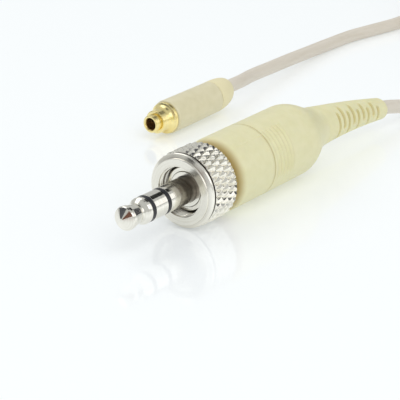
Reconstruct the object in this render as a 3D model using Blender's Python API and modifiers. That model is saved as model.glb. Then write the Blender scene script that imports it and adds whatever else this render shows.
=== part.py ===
"""Detachable lead of a headset microphone: a locking 3.5 mm plug at one end, a coaxial
micro connector at the other, and a coiled thin cable between them.

Lengths below are in millimetres and are turned to metres when a mesh is made.  A station is
the distance from the point of the plug, measured along the plug's own axis (+X).  The origin
is under the middle of the plug and its housing, on the surface that they lie on.
"""
import math

import bmesh
import bpy
from mathutils import Matrix, Vector

MM = 0.001

# Plug contacts: a standard three-pole 3.5 mm plug
PLUG_RADIUS = 1.75
TIP_LENGTH = 4.20
TIP_NOSE_RADIUS = 0.42
TIP_HEAD_RADIUS = 1.58
TIP_WAIST_RADIUS = 1.25
TIP_NOSE_CHAMFER = 0.12
COLLAR_WIDTH = 0.62
RING_LENGTH = 2.38
POLE_GAP = 0.04
TUBE_WALL = 0.20
TUBE_FIT = 0.06
ROD_RADIUS = 0.40
TUBE_STEP_BACK = 1.10
ROD_TAIL = 8.20

# Carrier bush that holds the plug and lets the lock ring turn
PLUG_REACH = 13.00
CARRIER_BOSS_WALL = 0.57
CARRIER_BOSS_LENGTH = 1.40
CARRIER_STOP_LENGTH = 0.80
CARRIER_NECK_RADIUS = 2.32
CARRIER_ANCHOR_RIM = 0.88
CARRIER_ANCHOR_LENGTH = 1.20
CARRIER_RECESS = 0.25
SLEEVE_GRIP_LENGTH = 3.40

# Lock ring, thrust washer and their play
NOSE_LEAD = 1.25
NOSE_WALL = 1.03
NOSE_LENGTH = 0.45
BAND_STEP = 0.15
BAND_LENGTH = 0.50
KNURL_LENGTH = 4.72
KNURL_RADIUS = 5.10
KNURL_GROOVE_DEPTH = 0.22
KNURL_GROOVE_WIDTH = 0.20
RING_CHAMFER = 0.12
THREAD_RADIUS = 3.17
THREAD_DEPTH = 0.25
THREAD_PITCH = 0.50
THREAD_CLEARANCE = 0.25
RING_LIP_CLEARANCE = 0.16
WASHER_THICKNESS = 0.30
WASHER_CLEARANCE = 0.08
RING_PLAY = 0.60
PLAY_MARGIN = 0.08

# Housing: front shell, rear shell and boot
SHELL_RADIUS = 5.00
SHELL_WALL = 1.15
SPIGOT_STEP = 1.00
SPIGOT_WALL = 0.50
SPIGOT_LENGTH = 2.40
SHELL_FRONT_ROUND = 1.70
FRONT_SHELL_LENGTH = 7.80
SEAM_GAP = 0.06
REAR_BARREL_LENGTH = 9.50
SHOULDER_LENGTH = 6.70
NECK_WALL = 1.02
BOOT_LENGTH = 16.45
BOOT_SPIGOT_WALL = 0.75
BOOT_SPIGOT_LENGTH = 4.20
BOOT_HEAD_RIM = 0.75
BOOT_HEAD_LENGTH = 1.00
BOOT_TIP_WALL = 0.45
BOOT_TIP_ROUND = 0.35
BOOT_DROOP = 1.63
BOOT_SWAY = 0.67
BOOT_DROOP_START = 0.60
BOOT_PLAIN_NECK = 2.50
BOOT_PLAIN_TIP = 2.65
BOOT_GROOVES = 9
BOOT_GROOVE_WIDTH = 0.50
BOOT_GROOVE_DEPTH = 0.32
BOOT_GROOVE_SLOPE = 0.05

# Cable and what is at its stripped ends
CABLE_RADIUS = 1.00
BOOT_CABLE_SHARES = (0.10, 0.28, 0.46, 0.64, 0.82, 1.00, 1.12)
BORE_FIT = 0.10
FERRULE_LENGTH = 2.20
FERRULE_LEAD = 0.15
FERRULE_WALL = 0.30
CORE_RADIUS = 0.32
CORE_OFFSET = 0.48
LUG_THICKNESS = 0.22
LUG_WIDTH = 1.10
TIP_LUG_LENGTH = 3.60
RING_LUG_LENGTH = 5.40
GROUND_LUG_LENGTH = 11.00
LUG_RIM = 0.52
LUG_SETBACK = 0.35
LUG_OVERLAP = 0.25
MESH_GAP = 0.30

# Micro connector, measured from its nose along its own axis
NOSE_X = 35.70
NOSE_Y = 23.27
CONNECTOR_TURN = -1.5
SOCKET_RADIUS = 1.25
SOCKET_BORE = 0.85
SOCKET_CHAMFER = 0.12
SOCKET_TUBE_LENGTH = 0.85
SOCKET_GROOVE_RADIUS = 1.12
SOCKET_GROOVE_LENGTH = 0.22
SOCKET_RING_RADIUS = 1.68
SOCKET_RING_LENGTH = 0.92
SOCKET_LENGTH = 2.30
FLANGE_START = 3.12
FLANGE_RADIUS = 2.28
BARREL_START = 3.70
BARREL_RADIUS = 2.46
BARREL_TAPER = 0.10
BARREL_ROUND = 0.24
BARREL_WALL = 0.52
BARREL_LENGTH = 10.30
SOCKET_SPIGOT_LENGTH = 5.00
CAP_LENGTH = 4.30
CAP_ROUND = 3.00
CAP_RIM = 0.12
CAP_SPIGOT_LENGTH = 1.40
CENTRE_PIN_RADIUS = 0.22
CENTRE_PIN_REACH = 1.10
CENTRE_PIN_TAIL = 0.80
CENTRE_PIN_POINT = 0.20
FLOOR_CLEARANCE = 0.02
CONNECTOR_CABLE_START = 10.80

# Free stretches of cable: how closely the smooth curve and the tube's own points follow it
CURVE_STEPS = 20
CABLE_POINT_SPACING = 2.50

# Coil of the length that is put away
COIL_X = 97.90
COIL_Y = 8.50
COIL_MIDDLE_RADIUS = 11.00
COIL_HALF_WIDTH = 4.95
COIL_LEVELS = 4
COIL_BASE = 0.70
COIL_SLACK = 0.05
TIE_WIDTH = 3.00
TIE_THICKNESS = 0.38
TIE_ANGLES = {"coil_tie_near": 180.0, "coil_tie_far": 20.0}

# Smoothness of turned pieces
FINE = 48
COARSE = 28

# Stations along the plug's axis that several pieces share
carrier_bore = PLUG_RADIUS + TUBE_FIT
rod_end = PLUG_REACH + ROD_TAIL
stop_station = PLUG_REACH + CARRIER_BOSS_LENGTH
neck_station = stop_station + CARRIER_STOP_LENGTH
nose_station = PLUG_REACH - NOSE_LEAD
band_station = nose_station + NOSE_LENGTH
knurl_station = band_station + BAND_LENGTH + KNURL_GROOVE_WIDTH
ring_end = knurl_station + KNURL_LENGTH - KNURL_GROOVE_WIDTH
shell_station = ring_end + RING_PLAY + PLAY_MARGIN
seam_station = shell_station + FRONT_SHELL_LENGTH
shoulder_station = seam_station + REAR_BARREL_LENGTH
shell_end = shoulder_station + SHOULDER_LENGTH
boot_end = shell_end + BOOT_LENGTH
boot_head_start = shell_end - BOOT_SPIGOT_LENGTH - TUBE_FIT - BOOT_HEAD_LENGTH
cable_start = boot_head_start - BORE_FIT - FERRULE_LENGTH - FERRULE_LEAD

# Where the axis lies
AXIS_HEIGHT = KNURL_RADIUS
CENTRE_STATION = shell_end / 2


def clear_scene():
    """Remove whatever the file opened with."""
    for thing in list(bpy.data.objects):
        bpy.data.objects.remove(thing, do_unlink=True)


def collection(name):
    """A new collection under the scene."""
    group = bpy.data.collections.new(name)
    bpy.context.scene.collection.children.link(group)
    return group


def finish(name, colour, roughness, metallic):
    """A plain Principled material."""
    paint = bpy.data.materials.new(name)
    paint.use_nodes = True
    shader = paint.node_tree.nodes["Principled BSDF"]
    shader.inputs["Base Color"].default_value = (*colour, 1.0)
    shader.inputs["Roughness"].default_value = roughness
    shader.inputs["Metallic"].default_value = metallic
    return paint


clear_scene()
PARTS = collection("headset_microphone_lead")
CUTTERS = collection("cutters")

NICKEL = finish("bright_nickel", (0.78, 0.76, 0.70), 0.16, 1.0)
GOLD = finish("gold_plate", (0.83, 0.63, 0.28), 0.20, 1.0)
BLACK = finish("black_insulator", (0.02, 0.02, 0.025), 0.40, 0.0)
CREAM = finish("cream_housing", (0.73, 0.69, 0.45), 0.32, 0.0)
BOOT_CREAM = finish("cream_boot", (0.74, 0.69, 0.38), 0.42, 0.0)
JACKET = finish("cable_jacket", (0.65, 0.58, 0.50), 0.45, 0.0)
COPPER = finish("copper_screen", (0.72, 0.38, 0.24), 0.35, 1.0)
RED_CORE = finish("red_core", (0.60, 0.05, 0.04), 0.45, 0.0)
WHITE_CORE = finish("white_core", (0.80, 0.80, 0.78), 0.45, 0.0)
PTFE = finish("ptfe", (0.88, 0.88, 0.86), 0.50, 0.0)
TIE = finish("tie_strap", (0.05, 0.05, 0.05), 0.60, 0.0)


def add_object(name, mesh, paint, group=None):
    """Link a mesh or curve as one named object."""
    mesh.name = name
    mesh.materials.append(paint)
    made = bpy.data.objects.new(name, mesh)
    (group or PARTS).objects.link(made)
    return made


def baked(source):
    """The object's mesh with its modifiers applied and its place in the mesh."""
    depsgraph = bpy.context.evaluated_depsgraph_get()
    mesh = bpy.data.meshes.new_from_object(source.evaluated_get(depsgraph))
    mesh.transform(source.matrix_world)
    return mesh


def outwards(mesh):
    """Turn every face of a closed mesh outwards."""
    shape = bmesh.new()
    shape.from_mesh(mesh)
    bmesh.ops.recalc_face_normals(shape, faces=shape.faces)
    shape.to_mesh(mesh)
    shape.free()
    return mesh


def turned(name, section, paint, steps=FINE, closed=True):
    """Turn a section about the X axis.  Its points are (station, radius), in millimetres,
    and run from the front over the outside to the back."""
    mesh = bpy.data.meshes.new(name)
    points = [(x * MM, 0.0, r * MM) for x, r in section]
    edges = [(i, i + 1) for i in range(len(points) - 1)]
    if closed:
        edges.append((len(points) - 1, 0))
    mesh.from_pydata(points, edges, [])
    outline = add_object(name + "_outline", mesh, paint, CUTTERS)
    screw = outline.modifiers.new("turn", "SCREW")
    screw.axis = "X"
    screw.steps = steps
    screw.render_steps = steps
    screw.use_merge_vertices = True
    screw.merge_threshold = 0.00001
    screw.use_smooth_shade = True
    solid = outwards(baked(outline))
    bpy.data.objects.remove(outline, do_unlink=True)
    solid.materials.clear()
    return add_object(name, solid, paint)


def arc(station, radius, size, start, end, steps=6):
    """Points on an arc about (station, radius): 90 degrees is outwards, 180 is forwards."""
    angles = [math.radians(start + (end - start) * i / steps) for i in range(steps + 1)]
    return [(station + size * math.cos(a), radius + size * math.sin(a)) for a in angles]


def on_plug_axis(made):
    """Carry a piece from the turning axis to the plug's axis."""
    made.location = (-CENTRE_STATION * MM, 0.0, AXIS_HEIGHT * MM)
    return made


CONNECTOR_HEIGHT = BARREL_RADIUS + FLOOR_CLEARANCE
CONNECTOR_PLACE = (
    Matrix.Translation(Vector((NOSE_X - CENTRE_STATION, NOSE_Y, CONNECTOR_HEIGHT)) * MM)
    @ Matrix.Rotation(math.radians(CONNECTOR_TURN), 4, "Z")
)


def on_connector_axis(made):
    """Carry a piece from the turning axis to the micro connector's axis."""
    made.matrix_world = CONNECTOR_PLACE
    return made


def tube(name, points, radius, paint):
    """A round bar or cable along world points in millimetres."""
    curve = bpy.data.curves.new(name, "CURVE")
    curve.dimensions = "3D"
    spline = curve.splines.new("POLY")
    spline.points.add(len(points) - 1)
    for knot, point in zip(spline.points, points):
        knot.co = (point[0] * MM, point[1] * MM, point[2] * MM, 1.0)
    spline.use_smooth = True
    curve.bevel_depth = radius * MM
    curve.bevel_resolution = 2
    curve.use_fill_caps = True
    return add_object(name, curve, paint)


def block(name, low, high, paint, group=None):
    """A box between two corners, in millimetres."""
    shape = bmesh.new()
    bmesh.ops.create_cube(shape, size=1.0)
    size = [(b - a) * MM for a, b in zip(low, high)]
    middle = [(b + a) * MM / 2 for a, b in zip(low, high)]
    bmesh.ops.scale(shape, vec=size, verts=shape.verts)
    bmesh.ops.translate(shape, vec=middle, verts=shape.verts)
    mesh = bpy.data.meshes.new(name)
    shape.to_mesh(mesh)
    shape.free()
    return add_object(name, mesh, paint, group)


def boolean(target, other, operation):
    """Join or cut with another object, which goes to the hidden cutters."""
    change = target.modifiers.new(operation.lower(), "BOOLEAN")
    change.operation = operation
    change.solver = "EXACT"
    change.object = other
    other.hide_render = True
    other.display_type = "WIRE"
    return target


# ---------------------------------------------------------------- plug contacts
collar_station = TIP_LENGTH + POLE_GAP
ring_station = collar_station + COLLAR_WIDTH + POLE_GAP
second_collar_station = ring_station + RING_LENGTH + POLE_GAP
sleeve_station = second_collar_station + COLLAR_WIDTH + POLE_GAP

tip_section = [
    (0.0, 0.0),
    (0.0, TIP_NOSE_RADIUS - TIP_NOSE_CHAMFER),
    (TIP_NOSE_CHAMFER, TIP_NOSE_RADIUS),
    (TIP_LENGTH * 0.15, TIP_HEAD_RADIUS - 0.06),
    (TIP_LENGTH * 0.18, TIP_HEAD_RADIUS),
    (TIP_LENGTH * 0.28, TIP_HEAD_RADIUS - 0.02),
    (TIP_LENGTH * 0.48, TIP_HEAD_RADIUS - 0.18),
    (TIP_LENGTH * 0.67, TIP_WAIST_RADIUS),
    (TIP_LENGTH * 0.73, TIP_WAIST_RADIUS),
    (TIP_LENGTH * 0.86, PLUG_RADIUS - 0.08),
    (TIP_LENGTH * 0.92, PLUG_RADIUS),
    (TIP_LENGTH, PLUG_RADIUS),
    (TIP_LENGTH, ROD_RADIUS),
    (rod_end, ROD_RADIUS),
    (rod_end, 0.0),
]
on_plug_axis(turned("tip_contact", tip_section, NICKEL, steps=COARSE, closed=False))


def pole(name, start, end, bore, tail, paint):
    """One pole of the plug: a full-width collar with a thin tube running back from it."""
    wall = bore + TUBE_WALL
    section = [(start, bore), (start, PLUG_RADIUS), (end, PLUG_RADIUS), (end, wall),
               (tail, wall), (tail, bore)]
    return on_plug_axis(turned(name, section, paint, steps=COARSE))


tip_tube_bore = ROD_RADIUS + TUBE_FIT
ring_tube_bore = tip_tube_bore + TUBE_WALL + TUBE_FIT
second_tube_bore = ring_tube_bore + TUBE_WALL + TUBE_FIT
sleeve_bore = second_tube_bore + TUBE_WALL + TUBE_FIT
tip_tube_tail = rod_end - TUBE_STEP_BACK
ring_tube_tail = tip_tube_tail - TUBE_STEP_BACK
second_tube_tail = ring_tube_tail - TUBE_STEP_BACK
sleeve_tail = PLUG_REACH + SLEEVE_GRIP_LENGTH

pole("tip_insulator", collar_station, collar_station + COLLAR_WIDTH, tip_tube_bore, tip_tube_tail, BLACK)
pole("ring_contact", ring_station, ring_station + RING_LENGTH, ring_tube_bore, ring_tube_tail, NICKEL)
pole("ring_insulator", second_collar_station, second_collar_station + COLLAR_WIDTH, second_tube_bore,
     second_tube_tail, BLACK)
sleeve_section = [(sleeve_station, sleeve_bore), (sleeve_station, PLUG_RADIUS),
                  (sleeve_tail, PLUG_RADIUS), (sleeve_tail, sleeve_bore)]
on_plug_axis(turned("sleeve_contact", sleeve_section, NICKEL, steps=COARSE))

# ---------------------------------------------------------------- carrier bush
boss_radius = carrier_bore + CARRIER_BOSS_WALL
stop_radius = THREAD_RADIUS - THREAD_CLEARANCE
anchor_radius = CARRIER_NECK_RADIUS + CARRIER_ANCHOR_RIM
anchor_station = shell_station + SHELL_WALL + TUBE_FIT
carrier_end = anchor_station + CARRIER_ANCHOR_LENGTH
carrier_section = [
    (PLUG_REACH + CARRIER_RECESS, carrier_bore),
    (PLUG_REACH, carrier_bore + CARRIER_RECESS / 2),
    (PLUG_REACH, boss_radius - RING_CHAMFER),
    (PLUG_REACH + RING_CHAMFER, boss_radius),
    (stop_station, boss_radius),
    (stop_station, stop_radius),
    (neck_station, stop_radius),
    (neck_station, CARRIER_NECK_RADIUS),
    (anchor_station, CARRIER_NECK_RADIUS),
    (anchor_station, anchor_radius),
    (carrier_end, anchor_radius),
    (carrier_end, carrier_bore),
]
on_plug_axis(turned("plug_carrier", carrier_section, NICKEL))

# ---------------------------------------------------------------- thrust washer
washer_station = neck_station + PLAY_MARGIN
washer_end = washer_station + WASHER_THICKNESS
washer_section = [
    (washer_station, CARRIER_NECK_RADIUS + WASHER_CLEARANCE),
    (washer_station, stop_radius),
    (washer_end, stop_radius),
    (washer_end, CARRIER_NECK_RADIUS + WASHER_CLEARANCE),
]
on_plug_axis(turned("thrust_washer", washer_section, NICKEL, steps=COARSE))

# ---------------------------------------------------------------- lock ring
lip_station = washer_end + WASHER_CLEARANCE
lip_bore = CARRIER_NECK_RADIUS + RING_LIP_CLEARANCE
root_radius = THREAD_RADIUS + THREAD_DEPTH
nose_radius = root_radius + NOSE_WALL
band_radius = KNURL_RADIUS - BAND_STEP
groove_radius = band_radius - KNURL_GROOVE_DEPTH
thread_start = nose_station + THREAD_DEPTH
thread_turns = int((stop_station - thread_start - THREAD_DEPTH) / THREAD_PITCH)
thread_section = []
for turn in range(thread_turns):
    crest = thread_start + turn * THREAD_PITCH
    thread_section += [(crest, THREAD_RADIUS), (crest + THREAD_PITCH / 2, root_radius)]
thread_section.append((thread_start + thread_turns * THREAD_PITCH, THREAD_RADIUS))
lock_ring_section = [
    (nose_station, root_radius),
    (nose_station, nose_radius - RING_CHAMFER),
    (nose_station + RING_CHAMFER, nose_radius),
    (band_station, nose_radius),
    (band_station + RING_CHAMFER, band_radius),
    (knurl_station - KNURL_GROOVE_WIDTH, band_radius),
    (knurl_station - KNURL_GROOVE_WIDTH, groove_radius),
    (knurl_station, groove_radius),
    (knurl_station + RING_CHAMFER, KNURL_RADIUS),
    (ring_end - RING_CHAMFER, KNURL_RADIUS),
    (ring_end, band_radius),
    (ring_end, lip_bore),
    (lip_station, lip_bore),
    (lip_station, root_radius),
    (stop_station + THREAD_DEPTH, root_radius),
] + thread_section[::-1]
on_plug_axis(turned("lock_ring", lock_ring_section, NICKEL))

# ---------------------------------------------------------------- front shell
spigot_radius = SHELL_RADIUS - SPIGOT_STEP
spigot_end = seam_station + SPIGOT_LENGTH
cavity_radius = spigot_radius - SPIGOT_WALL
pocket_radius = anchor_radius + TUBE_FIT
front_round = arc(shell_station + SHELL_FRONT_ROUND, SHELL_RADIUS - SHELL_FRONT_ROUND,
                  SHELL_FRONT_ROUND, 180, 90, 8)
front_shell_section = [(shell_station, CARRIER_NECK_RADIUS + TUBE_FIT)] + front_round + [
    (seam_station, SHELL_RADIUS),
    (seam_station, spigot_radius),
    (spigot_end, spigot_radius),
    (spigot_end, cavity_radius),
    (carrier_end + TUBE_FIT, cavity_radius),
    (carrier_end + TUBE_FIT, pocket_radius),
    (shell_station + SHELL_WALL, pocket_radius),
    (shell_station + SHELL_WALL, CARRIER_NECK_RADIUS + TUBE_FIT),
]
on_plug_axis(turned("front_shell", front_shell_section, CREAM))

# ---------------------------------------------------------------- rear shell
rear_start = seam_station + SEAM_GAP
counterbore = spigot_radius + SEAM_GAP
boot_bore = CABLE_RADIUS + BORE_FIT
boot_spigot = boot_bore + BOOT_SPIGOT_WALL
boot_head = boot_spigot + BOOT_HEAD_RIM
neck_bore = boot_spigot + TUBE_FIT
neck_radius = neck_bore + NECK_WALL
head_station = shell_end - BOOT_SPIGOT_LENGTH


def shoulder_point(share):
    """A point on the shoulder: the radius eases from the barrel's to the neck's."""
    eased = 3 * share ** 2 - 2 * share ** 3
    return shoulder_station + SHOULDER_LENGTH * share, SHELL_RADIUS - (SHELL_RADIUS - neck_radius) * eased


rear_shell_section = [(rear_start, counterbore), (rear_start, SHELL_RADIUS)]
rear_shell_section += [shoulder_point(i / 12) for i in range(13)]
rear_shell_section += [
    (shell_end, neck_bore),
    (head_station, neck_bore),
    (head_station, boot_head + TUBE_FIT),
    (shoulder_station, cavity_radius),
    (spigot_end + SEAM_GAP, cavity_radius),
    (spigot_end + SEAM_GAP, counterbore),
]
on_plug_axis(turned("rear_shell", rear_shell_section, CREAM))


# ---------------------------------------------------------------- boot
def boot_lean(station):
    """How far the boot has swayed and drooped at a station, in millimetres."""
    along = max(0.0, (station - shell_end) / BOOT_LENGTH)
    droop = BOOT_DROOP_START * along + (1 - BOOT_DROOP_START) * along ** 2
    return -BOOT_SWAY * along ** 2, -BOOT_DROOP * droop


def boot_radius(station):
    """Outside radius of the boot, which narrows from the neck to its end."""
    along = (station - shell_end) / BOOT_LENGTH
    return neck_radius - (neck_radius - boot_bore - BOOT_TIP_WALL) * along ** 0.85


boot_start = shell_end + TUBE_FIT
head_end = head_station - TUBE_FIT
boot_section = [
    (boot_head_start, boot_bore),
    (boot_head_start, boot_head),
    (head_end, boot_head),
    (head_end, boot_spigot),
    (boot_start, boot_spigot),
    (boot_start, neck_radius),
]
grooved_length = BOOT_LENGTH - BOOT_PLAIN_NECK - BOOT_PLAIN_TIP - BOOT_GROOVE_WIDTH
for groove in range(BOOT_GROOVES):
    front = shell_end + BOOT_PLAIN_NECK + grooved_length * groove / (BOOT_GROOVES - 1)
    back = front + BOOT_GROOVE_WIDTH
    boot_section += [
        (front, boot_radius(front)),
        (front + BOOT_GROOVE_SLOPE, boot_radius(front) - BOOT_GROOVE_DEPTH),
        (back - BOOT_GROOVE_SLOPE, boot_radius(back) - BOOT_GROOVE_DEPTH),
        (back, boot_radius(back)),
    ]
boot_section += [(boot_end - BOOT_TIP_ROUND, boot_radius(boot_end)),
                 (boot_end, boot_radius(boot_end) - BOOT_TIP_ROUND)]
boot_section += [(boot_end - (boot_end - boot_start) * i / 12, boot_bore) for i in range(13)]
boot = turned("cable_boot", boot_section, BOOT_CREAM, steps=COARSE)
for vertex in boot.data.vertices:
    sway, droop = boot_lean(vertex.co.x / MM)
    vertex.co.y += sway * MM
    vertex.co.z += droop * MM
on_plug_axis(boot)

# ---------------------------------------------------------------- ferrule, lugs and wires
ferrule_bore = CABLE_RADIUS + BORE_FIT
ferrule_start = cable_start + FERRULE_LEAD
ferrule_section = [
    (ferrule_start, ferrule_bore), (ferrule_start, ferrule_bore + FERRULE_WALL),
    (ferrule_start + FERRULE_LENGTH, ferrule_bore + FERRULE_WALL),
    (ferrule_start + FERRULE_LENGTH, ferrule_bore),
]
on_plug_axis(turned("crimp_ferrule", ferrule_section, NICKEL, steps=COARSE))


def lug(name, station, bore, rim, height, length, paint, turn):
    """A stamped solder lug: an eye around the plug's tail with a tag bent back from it."""
    eye_section = [(station, bore), (station, rim), (station + LUG_THICKNESS, rim),
                   (station + LUG_THICKNESS, bore)]
    made = turned(name, eye_section, paint, steps=COARSE)
    half = LUG_WIDTH / 2
    riser = block(name + "_riser", (station, -half, rim - LUG_OVERLAP),
                  (station + LUG_THICKNESS, half, height), paint, CUTTERS)
    tag = block(name + "_tag", (station, -half, height - LUG_THICKNESS), (station + length, half, height),
                paint, CUTTERS)
    boolean(made, riser, "UNION")
    boolean(made, tag, "UNION")
    whole = baked(made)
    for spare in (made, riser, tag):
        bpy.data.objects.remove(spare, do_unlink=True)
    whole.materials.clear()
    whole.transform(Matrix.Rotation(math.radians(turn), 4, "X"))
    return on_plug_axis(add_object(name, whole, paint))


tip_lug_station = tip_tube_tail + LUG_SETBACK
ring_lug_station = second_tube_tail + LUG_SETBACK
ground_lug_station = carrier_end + TUBE_FIT
tip_lug_bore = ROD_RADIUS + TUBE_FIT
ring_lug_bore = ring_tube_bore + TUBE_WALL + TUBE_FIT
ground_lug_bore = carrier_bore + LUG_THICKNESS
tip_lug_height = carrier_bore - LUG_THICKNESS
ring_lug_height = carrier_bore - TUBE_FIT
ground_lug_height = ground_lug_bore + LUG_RIM + LUG_THICKNESS
lug("tip_lug", tip_lug_station, tip_lug_bore, tip_lug_bore + LUG_RIM, tip_lug_height,
    TIP_LUG_LENGTH, NICKEL, 180)
lug("ring_lug", ring_lug_station, ring_lug_bore, ring_lug_bore + LUG_RIM, ring_lug_height,
    RING_LUG_LENGTH, NICKEL, 0)
lug("ground_lug", ground_lug_station, ground_lug_bore, ground_lug_bore + LUG_RIM, ground_lug_height,
    GROUND_LUG_LENGTH, NICKEL, 90)


def inside(points):
    """World points of (station, sideways, up from the axis) points, in millimetres."""
    return [(x - CENTRE_STATION, y, z + AXIS_HEIGHT) for x, y, z in points]


core_end = cable_start - MESH_GAP
tip_core_end = tip_lug_station + TIP_LUG_LENGTH + MESH_GAP
ring_core_end = ring_lug_station + RING_LUG_LENGTH + MESH_GAP
screen_end = ground_lug_station + GROUND_LUG_LENGTH + MESH_GAP
tip_core_height = tip_lug_height - LUG_THICKNESS / 2
ring_core_height = ring_lug_height - LUG_THICKNESS / 2
screen_height = ground_lug_height - LUG_THICKNESS / 2


def wire(name, height, end, turn, paint):
    """A wire from the cable's cut end out to the height of its lug, at an angle about the axis."""
    run = core_end - end
    heights = [(0.0, CORE_OFFSET), (0.25, CORE_OFFSET), (0.50, (CORE_OFFSET + height) / 2),
               (0.75, height), (1.0, height)]
    side = -math.sin(math.radians(turn))
    up = math.cos(math.radians(turn))
    points = [(core_end - run * share, side * h, up * h) for share, h in heights]
    return tube(name, inside(points), CORE_RADIUS, paint)


wire("tip_core", tip_core_height, tip_core_end, 180, RED_CORE)
wire("ring_core", ring_core_height, ring_core_end, 0, WHITE_CORE)
wire("screen_pigtail", screen_height, screen_end, 90, COPPER)

# ---------------------------------------------------------------- micro connector
barrel_end = BARREL_START + BARREL_LENGTH
barrel_bore = BARREL_RADIUS - BARREL_WALL
spigot_reach = BARREL_START + SOCKET_SPIGOT_LENGTH
groove_end = SOCKET_TUBE_LENGTH + SOCKET_GROOVE_LENGTH
ring_back = groove_end + SOCKET_RING_LENGTH
socket_section = [
    (SOCKET_CHAMFER, SOCKET_BORE),
    (0.0, SOCKET_BORE + SOCKET_CHAMFER),
    (0.0, SOCKET_RADIUS - SOCKET_CHAMFER),
    (SOCKET_CHAMFER, SOCKET_RADIUS),
    (SOCKET_TUBE_LENGTH, SOCKET_RADIUS),
    (SOCKET_TUBE_LENGTH, SOCKET_GROOVE_RADIUS),
    (groove_end, SOCKET_GROOVE_RADIUS),
    (groove_end, SOCKET_RING_RADIUS - SOCKET_CHAMFER),
    (groove_end + SOCKET_CHAMFER, SOCKET_RING_RADIUS),
    (ring_back, SOCKET_RING_RADIUS),
]
socket_section += [(ring_back + (FLANGE_START - ring_back) * math.sin(math.radians(a)),
                    SOCKET_RING_RADIUS + (FLANGE_RADIUS - SOCKET_CHAMFER - SOCKET_RING_RADIUS)
                    * (1 - math.cos(math.radians(a)))) for a in (30, 60, 90)]
socket_section += [
    (FLANGE_START + SOCKET_CHAMFER, FLANGE_RADIUS),
    (BARREL_START - TUBE_FIT, FLANGE_RADIUS),
    (BARREL_START - TUBE_FIT, barrel_bore - TUBE_FIT),
    (spigot_reach, barrel_bore - TUBE_FIT),
    (spigot_reach, SOCKET_BORE),
]
on_connector_axis(turned("connector_socket", socket_section, GOLD, steps=COARSE))

bead_start = SOCKET_LENGTH
bead_section = [
    (bead_start, CENTRE_PIN_RADIUS + TUBE_FIT),
    (bead_start, SOCKET_BORE - TUBE_FIT),
    (spigot_reach, SOCKET_BORE - TUBE_FIT),
    (spigot_reach, CENTRE_PIN_RADIUS + TUBE_FIT),
]
on_connector_axis(turned("connector_insulator", bead_section, PTFE, steps=COARSE))

pin_start = bead_start - CENTRE_PIN_REACH
pin_end = spigot_reach + CENTRE_PIN_TAIL
pin_section = [
    (pin_start, 0.0),
    (pin_start, CENTRE_PIN_RADIUS * 0.6),
    (pin_start + CENTRE_PIN_POINT, CENTRE_PIN_RADIUS),
    (pin_end, CENTRE_PIN_RADIUS),
    (pin_end, 0.0),
]
on_connector_axis(turned("connector_pin", pin_section, GOLD, steps=COARSE, closed=False))

barrel_back = BARREL_RADIUS - BARREL_TAPER
barrel_section = [
    (BARREL_START, barrel_bore),
    (BARREL_START, BARREL_RADIUS - BARREL_ROUND),
] + arc(BARREL_START + BARREL_ROUND, BARREL_RADIUS - BARREL_ROUND, BARREL_ROUND, 180, 90, 3)[1:] + [
    (barrel_end, barrel_back),
    (barrel_end, barrel_bore),
]
on_connector_axis(turned("connector_barrel", barrel_section, CREAM, steps=COARSE))

cap_start = barrel_end + SEAM_GAP
cap_end = cap_start + CAP_LENGTH
cap_spigot_bore = ferrule_bore + FERRULE_WALL + TUBE_FIT
cap_bore_end = CONNECTOR_CABLE_START + FERRULE_LENGTH + MESH_GAP
cap_nose_radius = boot_bore + CAP_RIM
cap_section = [
    (barrel_end - CAP_SPIGOT_LENGTH, cap_spigot_bore),
    (barrel_end - CAP_SPIGOT_LENGTH, barrel_bore - TUBE_FIT),
    (cap_start, barrel_bore - TUBE_FIT),
    (cap_start, barrel_back),
]
cap_section += [(cap_end - CAP_ROUND * (1 - math.sin(math.radians(a))),
                 cap_nose_radius + (barrel_back - cap_nose_radius) * math.cos(math.radians(a)))
                for a in range(0, 91, 10)]
cap_section += [
    (cap_end, boot_bore),
    (cap_bore_end, boot_bore),
    (cap_bore_end, cap_spigot_bore),
]
on_connector_axis(turned("connector_cap", cap_section, BOOT_CREAM, steps=COARSE))

far_ferrule_start = CONNECTOR_CABLE_START + FERRULE_LEAD
far_ferrule_section = [
    (far_ferrule_start, ferrule_bore),
    (far_ferrule_start, ferrule_bore + FERRULE_WALL),
    (far_ferrule_start + FERRULE_LENGTH, ferrule_bore + FERRULE_WALL),
    (far_ferrule_start + FERRULE_LENGTH, ferrule_bore),
]
on_connector_axis(turned("connector_ferrule", far_ferrule_section, NICKEL, steps=COARSE))


def on_connector(station):
    """The world point, in millimetres, at a distance along the micro connector's axis."""
    place = CONNECTOR_PLACE @ Vector((station * MM, 0.0, 0.0))
    return tuple(place / MM)


tube("connector_core", [on_connector(pin_end + TUBE_FIT), on_connector(CONNECTOR_CABLE_START - MESH_GAP)],
     CORE_RADIUS, WHITE_CORE)

# ---------------------------------------------------------------- cable, coil and ties
def smooth_run(route):
    """Points at even steps along a Catmull-Rom curve through the route's own points."""
    knots = [Vector(point) for point in route]
    knots = [2 * knots[0] - knots[1]] + knots + [2 * knots[-1] - knots[-2]]
    fine = []
    for a, b, c, d in zip(knots, knots[1:], knots[2:], knots[3:]):
        for step in range(CURVE_STEPS):
            t = step / CURVE_STEPS
            fine.append((2 * b + (c - a) * t + (2 * a - 5 * b + 4 * c - d) * t ** 2
                         + (3 * b - a - 3 * c + d) * t ** 3) / 2)
    fine.append(knots[-2])
    lengths = [(q - p).length for p, q in zip(fine, fine[1:])]
    steps = round(sum(lengths) / CABLE_POINT_SPACING)
    points = [fine[0]]
    walked = 0.0
    for end, length in zip(fine[1:], lengths):
        walked += length
        if walked >= sum(lengths) * len(points) / steps - MM:
            points.append(end)
    return points


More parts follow.
